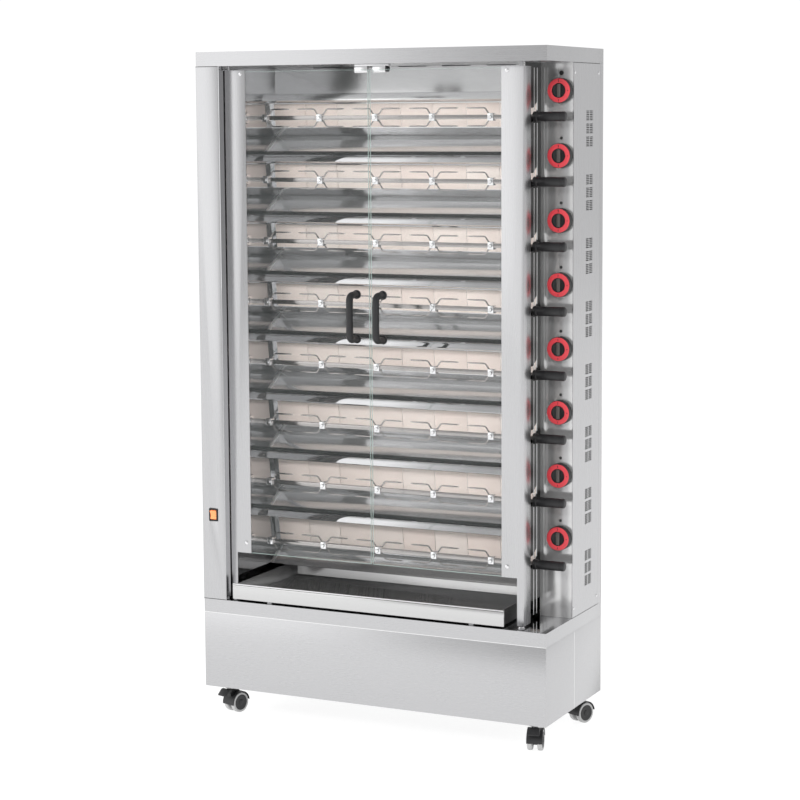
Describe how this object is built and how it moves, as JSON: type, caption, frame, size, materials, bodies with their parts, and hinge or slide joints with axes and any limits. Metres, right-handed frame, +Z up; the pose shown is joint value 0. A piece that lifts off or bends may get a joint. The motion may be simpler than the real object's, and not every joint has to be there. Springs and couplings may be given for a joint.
{
  "type": "rotisserie oven",
  "caption": "Upright gas chicken rotisserie: glass doors, stacked spits with forks, ceramic burners with gas knobs, drip tray and a wheeled stainless base.",
  "frame": {"origin": "on the floor under the middle of the whole oven, door handles included", "axes": "+X to the right seen from the front, +Y to the back, +Z up; the doors face -Y"},
  "size_m": [1.08, 0.4556, 1.941],
  "materials": {
    "brushed_stainless": "brushed stainless sheet",
    "mirror_stainless": "polished stainless sheet",
    "burner_steel": "polished burner housing",
    "ceramic_plaque": "matte perforated ceramic",
    "spit_steel": "polished stainless bar",
    "door_glass": "clear toughened glass",
    "black_plastic": "satin black heat-resistant plastic",
    "red_ring": "red printed ring",
    "amber_plastic": "lit amber rocker",
    "grey_tread": "grey wheel tread",
    "chrome_trim": "chrome screws and plates",
    "motor_housing": "cast gearbox and motor"
  },
  "bodies": {
    "oven_frame": {"top_cap": "brushed_stainless", "left_column_cover": "brushed_stainless", "left_chamber_wall": "mirror_stainless", "right_chamber_wall": "mirror_stainless", "rear_cover": "brushed_stainless", "right_side_cover": "brushed_stainless", "control_panel": "mirror_stainless", "base_cabinet": "brushed_stainless", "base_deck": "mirror_stainless", "gear_motor": "motor_housing", "burner_1": "burner_steel", "burner_2": "burner_steel", "burner_3": "burner_steel", "burner_4": "burner_steel", "burner_5": "burner_steel", "burner_6": "burner_steel", "burner_7": "burner_steel", "burner_8": "burner_steel"},
    "spit_1_set": {"spit_1": "spit_steel", "spit_handle_1": "black_plastic"},
    "spit_2_set": {"spit_2": "spit_steel", "spit_handle_2": "black_plastic"},
    "spit_3_set": {"spit_3": "spit_steel", "spit_handle_3": "black_plastic"},
    "spit_4_set": {"spit_4": "spit_steel", "spit_handle_4": "black_plastic"},
    "spit_5_set": {"spit_5": "spit_steel", "spit_handle_5": "black_plastic"},
    "spit_6_set": {"spit_6": "spit_steel", "spit_handle_6": "black_plastic"},
    "spit_7_set": {"spit_7": "spit_steel", "spit_handle_7": "black_plastic"},
    "spit_8_set": {"spit_8": "spit_steel", "spit_handle_8": "black_plastic"},
    "knob_1_set": {"knob_1": "black_plastic"},
    "knob_2_set": {"knob_2": "black_plastic"},
    "knob_3_set": {"knob_3": "black_plastic"},
    "knob_4_set": {"knob_4": "black_plastic"},
    "knob_5_set": {"knob_5": "black_plastic"},
    "knob_6_set": {"knob_6": "black_plastic"},
    "knob_7_set": {"knob_7": "black_plastic"},
    "knob_8_set": {"knob_8": "black_plastic"},
    "left_door": {"left_door_stile": "brushed_stainless", "left_door_glass": "door_glass", "left_door_handle": "black_plastic"},
    "right_door": {"right_door_stile": "brushed_stainless", "right_door_glass": "door_glass", "right_door_handle": "black_plastic"},
    "drip_tray_body": {"drip_tray": "mirror_stainless"},
    "rocker_switch_body": {"rocker_switch": "amber_plastic"},
    "front_left_caster": {"front_left_caster_fork": "black_plastic"},
    "front_left_wheels": {"front_left_caster_wheels": "grey_tread"},
    "front_left_brake": {"front_left_brake_pedal": "black_plastic"},
    "front_right_caster": {"front_right_caster_fork": "black_plastic"},
    "front_right_wheels": {"front_right_caster_wheels": "grey_tread"},
    "front_right_brake": {"front_right_brake_pedal": "black_plastic"},
    "rear_left_caster": {"rear_left_caster_fork": "black_plastic"},
    "rear_left_wheels": {"rear_left_caster_wheels": "grey_tread"},
    "rear_right_caster": {"rear_right_caster_fork": "black_plastic"},
    "rear_right_wheels": {"rear_right_caster_wheels": "grey_tread"}
  },
  "joints": [
    {"name": "spit_1_turn", "type": "hinge", "parent": "oven_frame", "child": "spit_1_set", "pos_m": [0, -0.05725, 1.7525], "axis": [1, 0, 0], "continuous": true},
    {"name": "spit_2_turn", "type": "hinge", "parent": "oven_frame", "child": "spit_2_set", "pos_m": [0, -0.05725, 1.575], "axis": [1, 0, 0], "continuous": true},
    {"name": "spit_3_turn", "type": "hinge", "parent": "oven_frame", "child": "spit_3_set", "pos_m": [0, -0.05725, 1.3975], "axis": [1, 0, 0], "continuous": true},
    {"name": "spit_4_turn", "type": "hinge", "parent": "oven_frame", "child": "spit_4_set", "pos_m": [0, -0.05725, 1.22], "axis": [1, 0, 0], "continuous": true},
    {"name": "spit_5_turn", "type": "hinge", "parent": "oven_frame", "child": "spit_5_set", "pos_m": [0, -0.05725, 1.0425], "axis": [1, 0, 0], "continuous": true},
    {"name": "spit_6_turn", "type": "hinge", "parent": "oven_frame", "child": "spit_6_set", "pos_m": [0, -0.05725, 0.865], "axis": [1, 0, 0], "continuous": true},
    {"name": "spit_7_turn", "type": "hinge", "parent": "oven_frame", "child": "spit_7_set", "pos_m": [0, -0.05725, 0.6875], "axis": [1, 0, 0], "continuous": true},
    {"name": "spit_8_turn", "type": "hinge", "parent": "oven_frame", "child": "spit_8_set", "pos_m": [0, -0.05725, 0.51], "axis": [1, 0, 0], "continuous": true},
    {"name": "knob_1_turn", "type": "hinge", "parent": "oven_frame", "child": "knob_1_set", "pos_m": [0.5035, -0.00425, 1.823], "axis": [0, -1, 0], "range_deg": [0, 180]},
    {"name": "knob_2_turn", "type": "hinge", "parent": "oven_frame", "child": "knob_2_set", "pos_m": [0.5035, -0.00425, 1.6455], "axis": [0, -1, 0], "range_deg": [0, 180]},
    {"name": "knob_3_turn", "type": "hinge", "parent": "oven_frame", "child": "knob_3_set", "pos_m": [0.5035, -0.00425, 1.468], "axis": [0, -1, 0], "range_deg": [0, 180]},
    {"name": "knob_4_turn", "type": "hinge", "parent": "oven_frame", "child": "knob_4_set", "pos_m": [0.5035, -0.00425, 1.2905], "axis": [0, -1, 0], "range_deg": [0, 180]},
    {"name": "knob_5_turn", "type": "hinge", "parent": "oven_frame", "child": "knob_5_set", "pos_m": [0.5035, -0.00425, 1.113], "axis": [0, -1, 0], "range_deg": [0, 180]},
    {"name": "knob_6_turn", "type": "hinge", "parent": "oven_frame", "child": "knob_6_set", "pos_m": [0.5035, -0.00425, 0.9355], "axis": [0, -1, 0], "range_deg": [0, 180]},
    {"name": "knob_7_turn", "type": "hinge", "parent": "oven_frame", "child": "knob_7_set", "pos_m": [0.5035, -0.00425, 0.758], "axis": [0, -1, 0], "range_deg": [0, 180]},
    {"name": "knob_8_turn", "type": "hinge", "parent": "oven_frame", "child": "knob_8_set", "pos_m": [0.5035, -0.00425, 0.5805], "axis": [0, -1, 0], "range_deg": [0, 180]},
    {"name": "left_door_hinge", "type": "hinge", "parent": "oven_frame", "child": "left_door", "pos_m": [-0.4515, -0.16625, 0.352], "axis": [0, 0, -1], "range_deg": [0, 90]},
    {"name": "right_door_hinge", "type": "hinge", "parent": "oven_frame", "child": "right_door", "pos_m": [0.452, -0.16625, 0.352], "axis": [0, 0, 1], "range_deg": [0, 110]},
    {"name": "drip_tray_slide", "type": "slide", "parent": "oven_frame", "child": "drip_tray_body", "axis": [0, -1, 0], "range_m": [0, 0.32]},
    {"name": "rocker_switch_tilt", "type": "hinge", "parent": "oven_frame", "child": "rocker_switch_body", "pos_m": [-0.5035, -0.20225, 0.603], "axis": [-1, 0, 0], "range_deg": [0, 16]},
    {"name": "front_left_caster_swivel", "type": "hinge", "parent": "oven_frame", "child": "front_left_caster", "pos_m": [-0.485, -0.14725, 0.08], "axis": [0, 0, 1], "continuous": true},
    {"name": "front_left_wheel_roll", "type": "hinge", "parent": "front_left_caster", "child": "front_left_wheels", "pos_m": [-0.47915, -0.12812, 0.03], "axis": [0.9563, -0.2924, 0], "continuous": true},
    {"name": "front_left_brake_press", "type": "hinge", "parent": "front_left_caster", "child": "front_left_brake", "pos_m": [-0.48909, -0.16064, 0.069], "axis": [0.9563, -0.2924, 0], "range_deg": [0, 14]},
    {"name": "front_right_caster_swivel", "type": "hinge", "parent": "oven_frame", "child": "front_right_caster", "pos_m": [0.485, -0.14725, 0.08], "axis": [0, 0, 1], "continuous": true},
    {"name": "front_right_wheel_roll", "type": "hinge", "parent": "front_right_caster", "child": "front_right_wheels", "pos_m": [0.47982, -0.12793, 0.03], "axis": [0.9659, 0.2588, 0], "continuous": true},
    {"name": "front_right_brake_press", "type": "hinge", "parent": "front_right_caster", "child": "front_right_brake", "pos_m": [0.48862, -0.16077, 0.069], "axis": [0.9659, 0.2588, 0], "range_deg": [0, 14]},
    {"name": "rear_left_caster_swivel", "type": "hinge", "parent": "oven_frame", "child": "rear_left_caster", "pos_m": [-0.485, 0.17275, 0.08], "axis": [0, 0, 1], "continuous": true},
    {"name": "rear_left_wheel_roll", "type": "hinge", "parent": "rear_left_caster", "child": "rear_left_wheels", "pos_m": [-0.48916, 0.19231, 0.03], "axis": [0.9781, 0.2079, 0], "continuous": true},
    {"name": "rear_right_caster_swivel", "type": "hinge", "parent": "oven_frame", "child": "rear_right_caster", "pos_m": [0.485, 0.17275, 0.08], "axis": [0, 0, 1], "continuous": true},
    {"name": "rear_right_wheel_roll", "type": "hinge", "parent": "rear_right_caster", "child": "rear_right_wheels", "pos_m": [0.49313, 0.19102, 0.03], "axis": [0.9135, -0.4067, 0], "continuous": true}
  ],
  "couplings": [
    {"joint": "spit_2_turn", "follows": "spit_1_turn", "ratio": 1},
    {"joint": "spit_3_turn", "follows": "spit_1_turn", "ratio": 1},
    {"joint": "spit_4_turn", "follows": "spit_1_turn", "ratio": 1},
    {"joint": "spit_5_turn", "follows": "spit_1_turn", "ratio": 1},
    {"joint": "spit_6_turn", "follows": "spit_1_turn", "ratio": 1},
    {"joint": "spit_7_turn", "follows": "spit_1_turn", "ratio": 1},
    {"joint": "spit_8_turn", "follows": "spit_1_turn", "ratio": 1}
  ]
}
